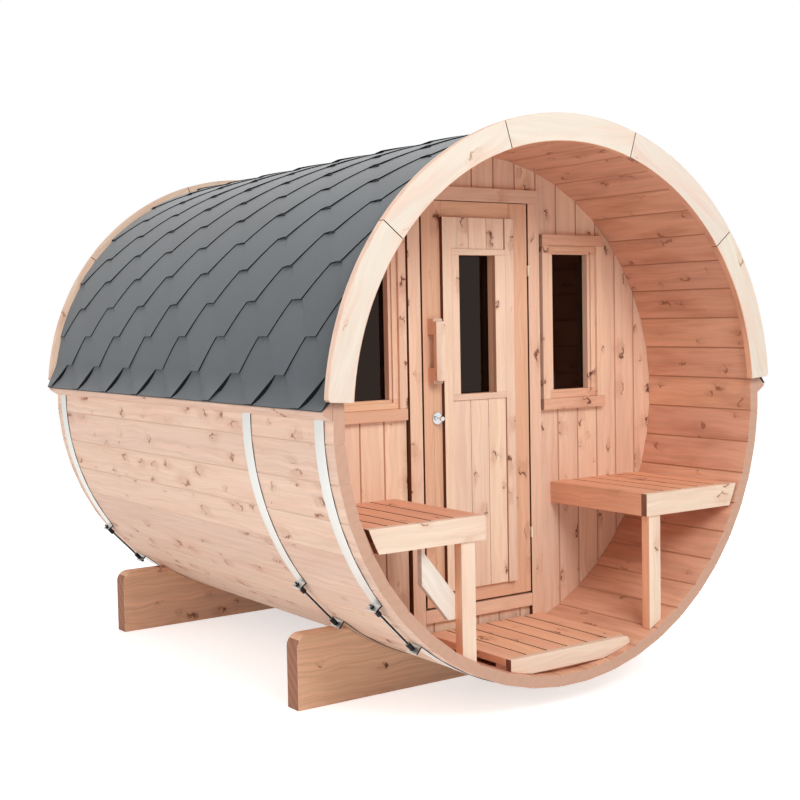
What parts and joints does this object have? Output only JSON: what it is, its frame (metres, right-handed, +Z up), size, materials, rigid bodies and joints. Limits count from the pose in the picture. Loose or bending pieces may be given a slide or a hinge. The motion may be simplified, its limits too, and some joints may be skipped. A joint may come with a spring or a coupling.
{
  "type": "barrel sauna",
  "caption": "Wooden barrel sauna on two cradles, with a shingled upper half between end arches, an open porch with benches, and a hinged door between windows.",
  "frame": {"origin": "on the ground, under the middle of the barrel", "axes": "+Z up, +Y along the barrel axis from the porch to the rear wall, the porch faces -Y"},
  "size_m": [2.202, 2.58, 2.2378],
  "materials": {
    "stave_wood": "planed softwood, oiled",
    "pale_wood": "planed pale softwood",
    "wall_wood": "planed knotty softwood",
    "seat_wood": "planed and stained softwood",
    "cradle_wood": "sawn softwood",
    "shingle_felt": "matte mineral-faced bitumen felt",
    "band_steel": "bright rolled steel strap",
    "rod_steel": "threaded steel",
    "hinge_steel": "plated steel",
    "lock_chrome": "polished plating",
    "dark_glass": "tinted float glass"
  },
  "bodies": {
    "barrel": {"staves_right": "stave_wood", "staves_upper_right": "stave_wood", "staves_top": "stave_wood", "staves_upper_left": "stave_wood", "staves_left": "stave_wood", "staves_lower_left": "stave_wood", "staves_bottom": "stave_wood", "staves_lower_right": "stave_wood", "front_cradle": "cradle_wood", "rear_cradle": "cradle_wood", "front_band": "band_steel", "middle_band": "band_steel", "rear_band": "band_steel", "front_tensioner": "rod_steel", "middle_tensioner": "rod_steel", "rear_tensioner": "rod_steel", "front_arch": "pale_wood", "rear_arch": "pale_wood", "roof_left": "shingle_felt", "roof_right": "shingle_felt", "eaves_batten_left": "stave_wood", "eaves_batten_right": "stave_wood", "wall_left": "wall_wood", "wall_right": "wall_wood", "wall_over_door": "wall_wood", "wall_under_door": "wall_wood", "rear_wall": "wall_wood", "window_left": "wall_wood", "window_right": "wall_wood", "window_glass_left": "dark_glass", "window_glass_right": "dark_glass", "door_frame": "wall_wood", "hinge_pins": "hinge_steel", "porch_deck": "seat_wood", "deck_fascia": "pale_wood", "cabin_floor": "seat_wood", "bench_left": "seat_wood", "bench_right": "seat_wood", "bench_brace": "pale_wood"},
    "door": {"door_leaf": "wall_wood", "door_panel": "wall_wood", "door_glass": "dark_glass", "door_handle": "pale_wood", "door_lock": "lock_chrome", "hinge_knuckles": "hinge_steel"}
  },
  "joints": [
    {"name": "door_hinge", "type": "hinge", "parent": "barrel", "child": "door", "pos_m": [0.276, -0.704, 1.15], "axis": [0, 0, 1], "range_deg": [0, 90]}
  ]
}
